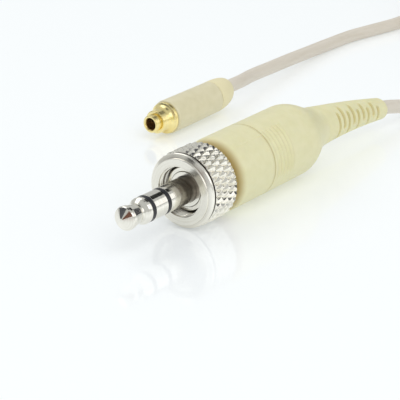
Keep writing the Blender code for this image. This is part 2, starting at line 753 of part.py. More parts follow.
plug_run = inside([(cable_start, 0.0, 0.0), ((cable_start + shell_end) / 2, 0.0, 0.0)])
boot_stations = [shell_end + BOOT_LENGTH * share for share in BOOT_CABLE_SHARES]
plug_run += inside([(station, *boot_lean(station)) for station in boot_stations])
plug_run += [
    (43.9, -1.25, 2.20), (47.9, -1.70, 1.60), (52.4, -2.20, 1.15), (56.9, -2.80, 1.02),
    (61.4, -3.40, 1.10), (65.9, -4.00, 1.50), (70.4, -4.60, 2.30), (74.9, -5.15, 3.45),
    (79.4, -5.60, 4.80), (83.9, -6.00, 6.15), (86.9, -6.20, 6.95), (89.3, -6.30, 7.45),
]
tube("cable_plug_run", smooth_run(plug_run), CABLE_RADIUS, JACKET)

connector_run = [on_connector(station) for station in (CONNECTOR_CABLE_START, cap_end - 3.4, cap_end + 1.0)]
connector_run += [
    (38.2, 24.10, 2.62), (42.0, 24.85, 2.35), (47.4, 25.28, 2.05), (53.6, 25.80, 1.70),
    (59.4, 26.20, 1.35), (65.0, 26.40, 1.12), (71.8, 26.15, 1.02), (77.3, 25.00, 1.02),
    (82.2, 23.95, 1.02), (86.3, 23.45, 1.15), (89.3, 23.35, 1.38),
]
tube("cable_connector_run", smooth_run(connector_run), CABLE_RADIUS, JACKET)

coil_height = COIL_LEVELS * 2 * CABLE_RADIUS + COIL_SLACK
coil_inner = COIL_MIDDLE_RADIUS - COIL_HALF_WIDTH
coil_outer = COIL_MIDDLE_RADIUS + COIL_HALF_WIDTH
coil_section = [
    (COIL_BASE, coil_inner), (COIL_BASE, coil_outer),
    (COIL_BASE + coil_height, coil_outer), (COIL_BASE + coil_height, coil_inner),
]
COIL_PLACE = Matrix.Translation(Vector((COIL_X, COIL_Y, 0.0)) * MM)
coil = turned("cable_coil", coil_section, JACKET, steps=FINE)
coil.matrix_world = COIL_PLACE @ Matrix.Rotation(math.radians(-90), 4, "Y")

half_tie = TIE_WIDTH / 2
for tie_name, angle in TIE_ANGLES.items():
    low = (coil_inner - MESH_GAP, -half_tie, COIL_BASE - MESH_GAP)
    high = (coil_outer + MESH_GAP, half_tie, COIL_BASE + coil_height + MESH_GAP)
    outer_low = (low[0] - TIE_THICKNESS, low[1], low[2] - TIE_THICKNESS)
    outer_high = (high[0] + TIE_THICKNESS, high[1], high[2] + TIE_THICKNESS)
    window_low = (low[0], low[1] - half_tie, low[2])
    window_high = (high[0], high[1] + half_tie, high[2])
    window = block(tie_name + "_window", window_low, window_high, TIE, CUTTERS)
    strap = boolean(block(tie_name, outer_low, outer_high, TIE), window, "DIFFERENCE")
    turn = COIL_PLACE @ Matrix.Rotation(math.radians(angle), 4, "Z")
    window.matrix_world = turn
    strap.matrix_world = turn
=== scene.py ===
"""The detachable lead of a headset microphone: looks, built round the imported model.

The plug's axis is +X, the surface that the lead lies on is z = 0, and sizes in the sections
below are in millimetres until a mesh is made.  A station is a distance from the point of the
plug along its axis.
"""
import math

import bpy
import numpy as np
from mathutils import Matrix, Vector


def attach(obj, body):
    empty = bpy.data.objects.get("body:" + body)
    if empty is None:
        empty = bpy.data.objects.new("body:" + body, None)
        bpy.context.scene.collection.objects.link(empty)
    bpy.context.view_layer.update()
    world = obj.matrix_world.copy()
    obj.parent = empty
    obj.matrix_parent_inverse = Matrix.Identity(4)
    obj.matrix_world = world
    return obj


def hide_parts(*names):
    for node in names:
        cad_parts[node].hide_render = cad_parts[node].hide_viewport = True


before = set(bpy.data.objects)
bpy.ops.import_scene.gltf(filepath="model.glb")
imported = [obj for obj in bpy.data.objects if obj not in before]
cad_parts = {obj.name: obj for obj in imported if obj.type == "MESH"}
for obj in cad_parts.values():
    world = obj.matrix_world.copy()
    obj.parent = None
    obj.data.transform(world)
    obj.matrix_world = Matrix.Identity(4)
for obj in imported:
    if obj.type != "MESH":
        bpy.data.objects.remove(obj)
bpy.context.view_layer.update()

MM = 0.001


# ------------------------------------------------------------------ camera
# A long lens, low and to the plug's side, so the plug points out of the picture and the
# cable runs away to the upper right.
CAMERA_PLACE = (-196.15, -141.5, 96.7)
CAMERA_DOWN = 21.57
CAMERA_ROUND = 36.5

camera_data = bpy.data.cameras.new("camera")
camera_data.sensor_width = 36.0
camera_data.lens = 180.0
camera_data.clip_start = 0.01
camera = bpy.data.objects.new("camera", camera_data)
camera.location = Vector(CAMERA_PLACE) * MM
camera.rotation_euler = (math.radians(90 - CAMERA_DOWN), 0.0, math.radians(CAMERA_ROUND - 90))
bpy.context.scene.collection.objects.link(camera)
bpy.context.scene.camera = camera
bpy.context.scene.view_settings.view_transform = "Standard"


# ------------------------------------------------------------------ cable
# Two thin insulated cores and a copper screen in an extruded beige jacket, 2 mm thick.  It runs
# from inside the housing, through the strain relief, over the surface, into a wound coil and
# back to the small connector.  Satin, with the faint drag lines of the extruder along it.
CABLE_RADIUS = 1.0
AXIS_HEIGHT = 5.10
HALF_JACK = 21.05
SHELL_END = 42.10
BOOT_LENGTH = 16.45
BOOT_DROOP = 1.63
BOOT_SWAY = 0.67
CABLE_START = 34.29
CONNECTOR_NOSE = np.array([35.70 - HALF_JACK, 23.27, 2.48])
CONNECTOR_TURN = math.radians(-1.5)
CONNECTOR_ALONG = np.array([math.cos(CONNECTOR_TURN), math.sin(CONNECTOR_TURN), 0.0])
CAP_BEND_START = 13.00
CAP_BEND_SPAN = 5.36
CAP_BEND = np.array([0.0, 0.50, 0.05])
CONNECTOR_LIFT = 0.022
COIL_CENTRE = np.array([97.9, 8.5])
COIL_OUTER = 14.875
COIL_INNER = 7.125
COIL_TURNS = 15.5
COIL_LEVELS = 4
COIL_FLOOR = 1.70


def boot_lean(station):
    """Sway and droop of the boot past the housing's end: they grow with a mix of the distance
    and its square, as a soft sleeve does that is pulled down by its cable."""
    along = np.clip((np.asarray(station) - SHELL_END) / BOOT_LENGTH, 0.0, None)
    return -BOOT_SWAY * along ** 2, -BOOT_DROOP * (0.6 * along + 0.4 * along ** 2)


def connector_bend(along):
    """How far the small connector stands off its level axis: its rear is lifted a little, and
    its soft cap has bent with its cable, by the square of the distance past the bend's start."""
    along = np.asarray(along)[..., None]
    share = np.clip((along - CAP_BEND_START) / CAP_BEND_SPAN, 0.0, None)
    return share ** 2 * CAP_BEND + along * [0.0, 0.0, CONNECTOR_LIFT]


def coil_line():
    """The wound length: four flat spirals, one under the other, going in, out, in and out, with
    a short step down where one spiral meets the next."""
    turn = np.linspace(0.0, COIL_TURNS, int(COIL_TURNS * 24) + 1)
    level_turns = COIL_TURNS / COIL_LEVELS
    level = np.minimum(turn // level_turns, COIL_LEVELS - 1)
    share = turn / level_turns - level
    inward = level % 2 == 0
    radius = np.where(inward, COIL_OUTER + (COIL_INNER - COIL_OUTER) * share,
                      COIL_INNER + (COIL_OUTER - COIL_INNER) * share)
    step_width = 0.04
    steps = sum(0.5 + 0.5 * np.tanh((turn / level_turns - k) / step_width) for k in range(1, COIL_LEVELS))
    height = COIL_FLOOR + 2 * CABLE_RADIUS * (COIL_LEVELS - 1 - steps)
    angle = -math.pi / 2 + turn * 2 * math.pi
    x = COIL_CENTRE[0] + radius * np.cos(angle)
    y = COIL_CENTRE[1] + radius * np.sin(angle)
    return np.stack([x, y, height], axis=1)


def smooth_line(points, step):
    """A Catmull-Rom curve through the points, resampled at even steps along its length."""
    p = np.vstack([2 * points[0] - points[1], points, 2 * points[-1] - points[-2]])
    t = np.linspace(0, 1, 9)[:-1][None, :, None]
    a, b, c, d = (p[i:len(p) - 3 + i][:, None, :] for i in range(4))
    curve = 0.5 * (2 * b + (c - a) * t + (2 * a - 5 * b + 4 * c - d) * t ** 2
                   + (3 * b - a - 3 * c + d) * t ** 3)
    curve = np.vstack([curve.reshape(-1, 3), points[-1]])
    length = np.concatenate([[0], np.cumsum(np.linalg.norm(np.diff(curve, axis=0), axis=1))])
    even = np.linspace(0, length[-1], int(length[-1] / step) + 1)
    return np.stack([np.interp(even, length, curve[:, k]) for k in range(3)], axis=1)


boot_stations = SHELL_END + BOOT_LENGTH * np.array([0.10, 0.28, 0.46, 0.64, 0.82, 1.00, 1.12])
boot_sway, boot_drop = boot_lean(boot_stations)
plug_run = np.vstack([
    [[station - HALF_JACK, 0.0, AXIS_HEIGHT] for station in (CABLE_START, (CABLE_START + SHELL_END) / 2)],
    np.stack([boot_stations - HALF_JACK, boot_sway, AXIS_HEIGHT + boot_drop], axis=1),
    [(43.9, -1.25, 2.20), (47.9, -1.70, 1.60), (52.4, -2.20, 1.15), (56.9, -2.80, 1.02),
     (61.4, -3.40, 1.10), (65.9, -4.00, 1.50), (70.4, -4.60, 2.30), (74.9, -5.15, 3.45),
     (79.4, -5.60, 4.80), (83.9, -6.00, 6.15), (86.9, -6.20, 6.95), (89.3, -6.30, 7.45)],
])
connector_run = np.vstack([
    [CONNECTOR_NOSE + CONNECTOR_ALONG * along + connector_bend(along) for along in (10.8, 14.4, 18.9)],
    [(38.2, 24.10, 2.62), (42.0, 24.85, 2.35), (47.4, 25.28, 2.05), (53.6, 25.80, 1.70),
     (59.4, 26.20, 1.35), (65.0, 26.40, 1.12), (71.8, 26.15, 1.02), (77.3, 25.00, 1.02),
     (82.2, 23.95, 1.02), (86.3, 23.45, 1.15), (89.3, 23.35, 1.38)],
])
cable_line = smooth_line(np.vstack([plug_run, coil_line(), connector_run[::-1]]), 0.8)


def grid_mesh(name, grid, wrap_rows=False, caps=False, sharp=40.0, shade_and_tint=None):
    """One object from a grid of points, rows by columns by xyz, in millimetres, whose columns
    join round.  Quads join each point to the next row and the next column, and wrapped rows join
    their ends too.  Caps close the first and last row with one face each.  The UV map holds
    metres along the rows and metres round the piece, so a pattern keeps its real size.  The
    shade and tint value, from 0 to 1 for each point, tells the material where its second colour
    shows: on most pieces a painted shade, on the small cap a real tint."""
    rows, columns = grid.shape[:2]
    number = np.arange(rows * columns).reshape(rows, columns)
    next_row = np.roll(number, -1, axis=0) if wrap_rows else number[1:]
    here = number if wrap_rows else number[:-1]
    quads = np.stack([here, np.roll(here, -1, axis=1), np.roll(next_row, -1, axis=1), next_row], axis=-1)
    faces = quads.reshape(-1, 4).tolist()
    walk = np.linalg.norm(np.diff(grid.mean(axis=1), axis=0), axis=1)
    girth = np.linalg.norm(grid - grid.mean(axis=1)[:, None, :], axis=2).mean(axis=1)
    walk = np.hypot(walk, np.diff(girth))
    walk = np.concatenate([[0.0], np.cumsum(walk)])
    last = walk[-1] + float(np.linalg.norm(grid[-1] - grid[0], axis=1).mean())
    row_of = np.repeat(np.arange(len(here)), columns)
    low = walk[row_of]
    high = np.concatenate([walk[1:], [last]])[row_of]
    around = np.tile(np.arange(columns), len(here)) * (2 * math.pi * girth.max() / columns)
    beside = around + 2 * math.pi * girth.max() / columns
    uv = np.stack([low, around, low, beside, high, beside, high, around], axis=1) * MM
    if caps:
        faces += [number[0, ::-1].tolist(), number[-1].tolist()]
        uv = np.concatenate([uv.ravel(), np.zeros(4 * columns)])
    mesh = bpy.data.meshes.new(name)
    mesh.from_pydata((grid.reshape(-1, 3) * MM).tolist(), [], faces)
    mesh.uv_layers.new(name="surface").data.foreach_set("uv", uv.ravel().astype(np.float32))
    if shade_and_tint is not None:
        values = np.broadcast_to(shade_and_tint, (rows, columns)).ravel().astype(np.float32)
        mesh.attributes.new("shade_and_tint", "FLOAT", "POINT").data.foreach_set("value", values)
    mesh.shade_smooth()
    mesh.set_sharp_from_angle(angle=math.radians(sharp))
    made = bpy.data.objects.new(name, mesh)
    bpy.context.scene.collection.objects.link(made)
    return made


def tube_grid(line, radius, sides):
    """A round tube along a line: at each point a circle square to the line, spanned by a level
    side, up x along, and by the direction square to both, so that the tube doesn't twist."""
    along = np.gradient(line, axis=0)
    along /= np.linalg.norm(along, axis=1)[:, None]
    side = np.cross([0.0, 0.0, 1.0], along)
    side /= np.linalg.norm(side, axis=1)[:, None]
    up = np.cross(along, side)
    angle = np.linspace(0, 2 * math.pi, sides, endpoint=False)[None, :, None]
    return line[:, None, :] + radius * (np.cos(angle) * side[:, None, :] + np.sin(angle) * up[:, None, :])


def hex_colour(text):
    """Linear colour from an sRGB hex value."""
    values = [int(text[i:i + 2], 16) / 255 for i in (1, 3, 5)]
    return tuple(v / 12.92 if v <= 0.04045 else ((v + 0.055) / 1.055) ** 2.4 for v in values) + (1.0,)


def node(tree, kind, links=None, **settings):
    """Add one shader node.  Settings whose names are sockets, with _ for a space, go on the
    sockets; the others are the node's own.  Links map a socket name to another node's output."""
    made = tree.nodes.new(kind)
    for key, value in settings.items():
        socket = made.inputs.get(key.replace("_", " "))
        if socket is not None:
            socket.default_value = value
        else:
            setattr(made, key, value)
    for key, output in (links or {}).items():
        tree.links.new(output, made.inputs[key])
    return made


def new_material(name, metallic=0.0, ior=None):
    """An empty node material with its shader and its texture coordinates."""
    material = bpy.data.materials.new(name)
    material.use_nodes = True
    tree = material.node_tree
    shader = tree.nodes["Principled BSDF"]
    shader.inputs["Metallic"].default_value = metallic
    if ior:
        shader.inputs["IOR"].default_value = ior
    place = tree.nodes.new("ShaderNodeTexCoord").outputs
    return material, tree, shader, place


SHADE_AND_TINT_ROUGHNESS = 0.25


def mottled(tree, shader, coordinate, scale, colours, roughness, bump, stretch=(1.0, 1.0, 1.0),
            colour_of_shade_and_tint=None):
    """Colour, roughness and height that drift with one noise: its low and high ends take the two
    colours and the two roughness values, and its height makes the bump, in metres.  The second
    colour is laid over them as far as the mesh's shade and tint value says, and that value adds
    to the roughness.  On most pieces that colour is a painted shade; on the small cap it is a
    real tint."""
    where = node(tree, "ShaderNodeMapping", {"Vector": coordinate}, Scale=stretch).outputs["Vector"]
    noise = node(tree, "ShaderNodeTexNoise", {"Vector": where}, Scale=scale, Detail=4.0).outputs["Fac"]
    blend = node(tree, "ShaderNodeValToRGB", {"Fac": noise})
    for stop, place, colour in zip(blend.color_ramp.elements, (0.35, 0.65), colours):
        stop.position = place
        stop.color = hex_colour(colour)
    rough = node(tree, "ShaderNodeMapRange", {"Value": noise}, To_Min=roughness[0], To_Max=roughness[1])
    height = node(tree, "ShaderNodeBump", {"Height": noise}, Strength=1.0, Distance=bump)
    colour = blend.outputs["Color"]
    if colour_of_shade_and_tint:
        shade_and_tint = node(tree, "ShaderNodeAttribute", attribute_name="shade_and_tint").outputs["Fac"]
        over = node(tree, "ShaderNodeMix", {0: shade_and_tint, 6: colour}, data_type="RGBA")
        over.inputs[7].default_value = hex_colour(colour_of_shade_and_tint)
        colour = over.outputs[2]
    tree.links.new(colour, shader.inputs["Base Color"])
    rough = rough.outputs["Result"]
    if colour_of_shade_and_tint:
        rough = node(tree, "ShaderNodeMath", {0: shade_and_tint, 2: rough}, operation="MULTIPLY_ADD")
        rough.inputs[1].default_value = SHADE_AND_TINT_ROUGHNESS
        rough = rough.outputs["Value"]
    tree.links.new(rough, shader.inputs["Roughness"])
    tree.links.new(height.outputs["Normal"], shader.inputs["Normal"])


def ride_as(piece, material, slot, body, *nodes):
    """Give a piece its material and body, and let it stand for its CAD nodes.  The slot is not used."""
    piece.data.materials.append(material)
    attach(piece, body)
    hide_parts(*nodes)
    return piece


# PVC drawn out of the extruder: satin, with drag marks under a millimetre apart that run along it.
jacket, tree, shader, place = new_material("extruded_satin_jacket", ior=1.5)
mottled(tree, shader, place["UV"], 1400.0, ("#DCD3C4", "#E2DACD"), (0.40, 0.52), 0.000003,
        (0.12, 1.0, 1.0))
cable = grid_mesh("cable", tube_grid(cable_line, CABLE_RADIUS, 24), caps=True)
ride_as(cable, jacket, "cable_jacket", "jack", "cable_plug_run", "cable_coil", "cable_connector_run")


# ------------------------------------------------------------------ plug contacts
# A three-pole 3.5 mm plug: tip, ring and sleeve turned from brass and plated with bright
# nickel, each a full-width collar on a thin tube, pressed together with black collars between.
PLUG_RADIUS = 1.75
ROD_RADIUS = 0.40
TUBE_WALL = 0.20
TUBE_FIT = 0.06
ROD_END = 21.2
TUBE_STEP_BACK = 1.10
TIP_END = 4.20
FRONT_COLLAR = (4.24, 4.86)
MIDDLE_POLE = (4.90, 7.28)
REAR_COLLAR = (7.32, 7.94)
SLEEVE_POLE = (7.98, 16.40)
BORE_SHADE_START = 8.60
BORE_SHADE_SPAN = 4.20
ROUND_SIDES = 96


def rounded(corners, steps=5):
    """An outline with its corners rounded.  Each corner is (station, radius, fillet); a fillet is
    an arc between the points where it touches both sides, with a point just past each end so
    that the flat beside it stays flat when it is shaded."""
    nearly_straight = math.radians(88)
    points = []
    count = len(corners)
    for i, (station, radius, fillet) in enumerate(corners):
        here = np.array([station, radius])
        if not fillet:
            points.append(here)
            continue
        before = np.array(corners[i - 1][:2]) - here
        after = np.array(corners[(i + 1) % count][:2]) - here
        reach_before, reach_after = np.linalg.norm(before), np.linalg.norm(after)
        before, after = before / reach_before, after / reach_after
        half = math.acos(np.clip(before @ after, -1, 1)) / 2
        if half > nearly_straight:
            points.append(here)
            continue
        size = min(fillet, 0.45 * min(reach_before, reach_after) * math.tan(half))
        touch = size / math.tan(half)
        middle = here + (before + after) / np.linalg.norm(before + after) * size / math.sin(half)
        start, end = here + before * touch, here + after * touch
        points.append(start + before * touch * 0.15)
        for share in np.linspace(0, 1, steps + 1):
            chord = start + (end - start) * share - middle
            points.append(middle + chord / np.linalg.norm(chord) * size)
        points.append(end + after * touch * 0.15)
    return np.array(points)


def turned_grid(outline, columns):
    """The outline carried round the axis: (station, radius) becomes, at each angle, (station,
    radius cos angle, radius sin angle)."""
    angle = np.linspace(0, 2 * math.pi, columns, endpoint=False)
    x, r = outline[:, 0][:, None], outline[:, 1][:, None]
    return np.stack([x + 0 * angle, r * np.cos(angle), r * np.sin(angle)], axis=-1)


def on_plug(grid):
    """Carry points from the turning axis to the plug's, with the origin midway along the jack."""
    return grid + [-HALF_JACK, 0.0, AXIS_HEIGHT]


# Bright nickel over turned brass: close to white with a warm cast, mirror-like, with the fine
# rings that the lathe leaves.  The real rings are a few hundredths of a millimetre apart and are
# drawn at a fifth of a millimetre so that they show.  The second colour is a painted dark brown
# shade, for the shade and dark reflection of the bore on the sleeve.
nickel, tree, shader, place = new_material("bright_nickel_plate", metallic=1.0)
mottled(tree, shader, place["UV"], 5200.0, ("#E6E3D8", "#F2EFE6"), (0.07, 0.15), 0.0000012,
        (1.0, 0.02, 1.0), colour_of_shade_and_tint="#44301C")

# The point, the cone, the waist that the socket's spring drops in, and the rod behind.
tip_corners = [
    (0.0, 0.03, 0), (0.02, 0.22, 0.1), (0.10, 0.42, 0.12), (0.62, 1.50, 0.10), (0.80, 1.575, 0.10),
    (1.20, 1.56, 0.5), (2.05, 1.39, 0.6), (2.80, 1.25, 0.25), (3.06, 1.25, 0.20), (3.60, 1.68, 0.15),
    (3.80, PLUG_RADIUS, 0.08), (TIP_END, PLUG_RADIUS, 0.03), (TIP_END, ROD_RADIUS, 0),
    (ROD_END, ROD_RADIUS, 0.05), (ROD_END, 0.03, 0)]
tip = grid_mesh("plug_tip", on_plug(turned_grid(rounded(tip_corners), ROUND_SIDES)), caps=True)
ride_as(tip, nickel, "bright_nickel", "jack", "tip_contact")


def pole_outline(start, end, level, tail):
    """A collar as wide as the plug, from start to end, and its thin tube going back to the tail.
    The level is how many tubes it lies outside of."""
    bore = ROD_RADIUS + TUBE_FIT + level * (TUBE_WALL + TUBE_FIT)
    wall = bore + TUBE_WALL
    return rounded([(start, bore, 0), (start, PLUG_RADIUS, 0.03), (end, PLUG_RADIUS, 0.03), (end, wall, 0),
                    (tail, wall, 0), (tail, bore, 0)])


tails = [ROD_END - TUBE_STEP_BACK * (level + 1) for level in range(3)]
ring_outline = pole_outline(*MIDDLE_POLE, 1, tails[1])
ring_pole = grid_mesh("plug_ring", on_plug(turned_grid(ring_outline, ROUND_SIDES)), wrap_rows=True)
ride_as(ring_pole, nickel, "bright_nickel", "jack", "ring_contact")

sleeve_start, sleeve_end = SLEEVE_POLE
sleeve_bore = ROD_RADIUS + TUBE_FIT + 3 * (TUBE_WALL + TUBE_FIT)
sleeve_outline = rounded([(sleeve_start, sleeve_bore, 0), (sleeve_start, PLUG_RADIUS, 0.03)]
                         + [(station, PLUG_RADIUS, 0) for station in np.arange(8.4, 13.3, 0.25)]
                         + [(sleeve_end, PLUG_RADIUS, 0.05), (sleeve_end, sleeve_bore, 0)])
# Painted shade: the sleeve turns dark brown towards the bush, for the bore's shade and dark reflection.
bore_shade = np.clip((sleeve_outline[:, :1] - BORE_SHADE_START) / BORE_SHADE_SPAN, 0, 1) * 0.80
sleeve = grid_mesh("plug_sleeve", on_plug(turned_grid(sleeve_outline, ROUND_SIDES)), wrap_rows=True,
                   shade_and_tint=bore_shade)
ride_as(sleeve, nickel, "bright_nickel", "jack", "sleeve_contact")


# ------------------------------------------------------------------ insulating collars
# Glass-filled black nylon, moulded between the poles and then turned flush with them: near
# black, satin, with the faint grey bloom of the turned surface.
black, tree, shader, place = new_material("turned_black_nylon", ior=1.53)
mottled(tree, shader, place["UV"], 3000.0, ("#121216", "#1E1E24"), (0.30, 0.48), 0.00002,
        (1.0, 0.08, 1.0))
for label, span, level in (("tip", FRONT_COLLAR, 0), ("ring", REAR_COLLAR, 2)):
    outline = pole_outline(*span, level, tails[level])
    collar = grid_mesh(label + "_collar", on_plug(turned_grid(outline, ROUND_SIDES)), wrap_rows=True)
    ride_as(collar, black, "black_insulator", "jack", label + "_insulator")


# ------------------------------------------------------------------ carrier bush
# The turned brass bush that is pressed on the plug's sleeve and into the housing.  Its front
# face is the bright disc inside the lock ring, with a narrow raised lip round the plug.
CARRIER_BORE = 1.81
CARRIER_FACE = 13.00
CARRIER_FACE_RADIUS = 2.92
CARRIER_NECK_RADIUS = 2.32
CARRIER_COLLAR_RADIUS = 3.20
carrier_corners = [
    (CARRIER_FACE, CARRIER_BORE - 0.04, 0.03), (CARRIER_FACE, 2.30, 0.04), (13.12, 2.38, 0.03),
    (13.12, CARRIER_FACE_RADIUS, 0.10), (15.20, CARRIER_FACE_RADIUS, 0.06),
    (15.20, CARRIER_NECK_RADIUS, 0.03), (19.31, CARRIER_NECK_RADIUS, 0),
    (19.31, CARRIER_COLLAR_RADIUS, 0.04), (20.51, CARRIER_COLLAR_RADIUS, 0.04), (20.51, CARRIER_BORE, 0)]
bush = grid_mesh("carrier_bush", on_plug(turned_grid(rounded(carrier_corners), ROUND_SIDES)),
                 wrap_rows=True)

# Nickel over a coarser turned surface than the contacts', so its mirror images are softer.  The
# second colour is a painted dark brown shade down in the thread and in the groove.
turned_nickel, tree, shader, place = new_material("turned_nickel_plate", metallic=1.0)
mottled(tree, shader, place["UV"], 5200.0, ("#F0ECDF", "#FBF8EE"), (0.13, 0.24), 0.000002,
        (1.0, 0.02, 1.0), colour_of_shade_and_tint="#44301C")
ride_as(bush, turned_nickel, "bright_nickel", "jack", "plug_carrier")


# ------------------------------------------------------------------ lock ring
# Turned from brass bar, threaded inside at 0.5 mm pitch, diamond knurled and nickel plated.  It
# screws over the socket's thread.  Its front has a flat nose, a smooth band and a turned groove.
KNURL_STARTS = 34
KNURL_AXIAL_PITCH = 2.58
KNURL_TURN = 0.36
KNURL_RADIUS = 5.10
KNURL_DEPTH = 0.30
KNURL_CREST = 0.72
KNURL_BEVEL = 0.14
KNURL_SPAN = (12.95, 17.42)
THREAD_PITCH = 0.50
THREAD_CREST = 3.17
THREAD_ROOT = 3.42
THREAD_SPAN = (12.00, 14.55)
NOSE_START = 11.75
GROOVE_MIDDLE = 12.78
GROOVE_RADIUS = 4.60
ring_angle = np.linspace(0, 2 * math.pi, 14 * KNURL_STARTS, endpoint=False)[None, :]


def knurl_rows(stations):
    """Radius over the knurl: two families of V grooves, one leaning each way, each rising from
    its groove to a flat crest; the lower of the two leaves the diamonds.  Both ends of the knurl
    are bevelled down nearly to the grooves."""
    x = np.asarray(stations)[:, None]
    lean = x / KNURL_AXIAL_PITCH
    turns = ring_angle * KNURL_STARTS / (2 * math.pi) - KNURL_TURN
    heights = [np.clip(2 * np.abs((turns + way * lean) % 1.0 - 0.5) / KNURL_CREST, 0, 1) for way in (1, -1)]
    edge = np.clip((KNURL_SPAN[1] - x) / KNURL_BEVEL, 0, 1)
    front = np.clip((x - KNURL_SPAN[0]) / KNURL_BEVEL, 0, 1)
    low = KNURL_RADIUS - KNURL_DEPTH
    rise = np.minimum(*heights) * KNURL_DEPTH
    return np.minimum(low + rise, low + 0.08 + 0.24 * np.minimum(edge, front))


def thread_rows(stations):
    """Radius inside the thread: a triangle wave that moves along by one pitch in one turn, with a
    narrow flat at its crest and at its root."""
    x = np.asarray(stations)[:, None]
    wave = 2 * np.abs((x / THREAD_PITCH - ring_angle / (2 * math.pi)) % 1.0 - 0.5)
    crest = np.clip((wave - 0.12) / 0.76, 0, 1)
    return THREAD_CREST + (THREAD_ROOT - THREAD_CREST) * crest


def even_rows(outline):
    """Rows of an outline that is the same all round."""
    return outline[:, 0][:, None] + 0 * ring_angle, outline[:, 1][:, None] + 0 * ring_angle


# From the thread's mouth out over the flat nose, the bevel and the groove, then back over the
# knurl, down the rear face, in along the bore that runs on the bush, and out along the thread.
nose_rows = rounded([
    (11.98, 3.30, 0), (NOSE_START, 3.34, 0.05), (NOSE_START, 4.40, 0.08), (11.98, 4.43, 0.03),
    (12.02, 4.50, 0.02), (12.34, 4.95, 0.24), (12.60, 4.95, 0.05), (12.64, GROOVE_RADIUS, 0.03),
    (12.92, GROOVE_RADIUS, 0.03), (12.94, 4.88, 0)])
knurl_stations = np.linspace(*KNURL_SPAN, 61)
back_rows = rounded([
    (17.44, 4.70, 0), (17.42, 2.48, 0.05), (15.66, 2.48, 0.05), (15.66, THREAD_ROOT, 0.05),
    (14.70, THREAD_ROOT, 0)])
thread_stations = np.linspace(*THREAD_SPAN, 52)[::-1]
parts = [even_rows(nose_rows),
         (knurl_stations[:, None] + 0 * ring_angle, knurl_rows(knurl_stations)),
         even_rows(back_rows[1:]),
         (thread_stations[:, None] + 0 * ring_angle, thread_rows(thread_stations))]
ring_station, ring_radius = (np.vstack([part[k] for part in parts]) for k in (0, 1))
ring_grid = np.stack([ring_station, ring_radius * np.cos(ring_angle),
                      ring_radius * np.sin(ring_angle)], axis=-1)

# Painted shade deep in the thread, in the groove and in the step at the bevel's foot, and a faint trace of
# the same darkening on the nose.
in_thread = np.clip((3.60 - ring_radius) / 0.3, 0, 1) * np.clip((ring_station - 12.9) / 1.0, 0, 1)
in_groove = (np.abs(ring_station - GROOVE_MIDDLE) < 0.165) & (ring_radius < 4.89)
in_step = (np.abs(ring_station - 12.0) < 0.04) & (ring_radius > 4.42) & (ring_radius < 4.52)
on_nose = ring_station < NOSE_START + 0.05
recess_shade_and_nose_darkening = np.max([0.75 * in_thread, 0.8 * in_groove, 0.2 * in_step, 0.04 * on_nose], axis=0)
lock_ring = grid_mesh("knurled_lock_ring", on_plug(ring_grid), wrap_rows=True, sharp=32, shade_and_tint=recess_shade_and_nose_darkening)
ride_as(lock_ring, turned_nickel, "bright_nickel", "lock_ring", "lock_ring")


# ------------------------------------------------------------------ housing
# Two shells injection-moulded in cream ABS, a spigot of the front one glued in the rear one.
# Semi-gloss and slightly soft at the edges; the rounded front rim is painted a darker amber for the shade
# that falls on it behind the lock ring.
SHELL_RADIUS = 5.00
RIM_ROUND = 1.70
FRONT_START = 18.10
SEAM = 25.90
SHOULDER_START = 35.40
NECK_RADIUS = 2.93
REAR_BORE_RADIUS = 3.50
SPIGOT_RADIUS = 4.00
MOULD_LINE = 122.5
MOULD_LINE_HEIGHT = 0.06
GRIP_SPAN = (26.50, 30.25)
GRIP_PITCH = 0.76
GRIP_HEIGHT = 0.17
GRIP_SINK = 0.03
GRIP_WINDOW = (117.0, 205.0)
PLASTIC_DEPTH_SHARE = 0.12
PLASTIC_DEPTH = (0.0012, 0.0009, 0.0004)


def dense_angles(columns, *places):
    """Angles round a shell, in degrees: evenly spread, and closer together near given places."""
    even = np.linspace(0, 360, columns, endpoint=False)
    near = [place + np.linspace(-3, 3, 13) for place in places]
    return np.radians(np.unique(np.round(np.concatenate([even, *near]) % 360, 3)))


def shell_grid(outline, angle, relief):
    """The outline carried round the axis, with a relief, a function of the station and of the
    degrees round it, added to the radius wherever that is the barrel's."""
    x = outline[:, 0][:, None] + 0 * angle[None, :]
    r = outline[:, 1][:, None] + 0 * angle[None, :]
    outside = r > SHELL_RADIUS - 0.02
    r = r + relief(x, np.degrees(angle)[None, :]) * outside
    return np.stack([x, r * np.cos(angle), r * np.sin(angle)], axis=-1)


def smooth(value):
    """Smooth step from 0 to 1 of a value that is held between them."""
    t = np.clip(value, 0, 1)
    return t * t * (3 - 2 * t)


def mould_relief(x, degrees):
    """A fine raised line along the shell where the two halves of the mould met."""
    return MOULD_LINE_HEIGHT * np.exp(-(degrees - MOULD_LINE) ** 2) * smooth((x - 19.9) / 0.8)


def grip_relief(x, degrees):
    """Low ridges round one side of the barrel: a raised cosine along the axis, cubed to make it
    narrow, less a small sink, inside a window of angles with a crisp upper edge and a lower edge
    that fades out."""
    lower, upper = GRIP_SPAN
    inside = smooth((x - lower + 0.3) / 0.2) * smooth((upper - x + 0.2) / 0.2)
    window = smooth((degrees - GRIP_WINDOW[0]) / 2.0) * smooth((GRIP_WINDOW[1] - degrees) / 16.0)
    wave = 0.5 - 0.5 * np.cos(2 * math.pi * (x - lower) / GRIP_PITCH)
    return (GRIP_HEIGHT * wave ** 3 - GRIP_SINK) * inside * window


# Moulded ABS in pale cream: a semi-gloss skin with the mould's faint unevenness, under which the
# light goes about a millimetre deep.  The second colour is a painted amber shade on the front
# rim and down between the ribs; the seam's line takes a little of it too.
cream, tree, shader, place = new_material("moulded_cream_abs", ior=1.53)
mottled(tree, shader, place["Object"], 900.0, ("#E6E1B4", "#EAE5BB"), (0.34, 0.46), 0.000004, colour_of_shade_and_tint="#AE924A")
shader.inputs["Subsurface Weight"].default_value = PLASTIC_DEPTH_SHARE
shader.inputs["Subsurface Radius"].default_value = PLASTIC_DEPTH

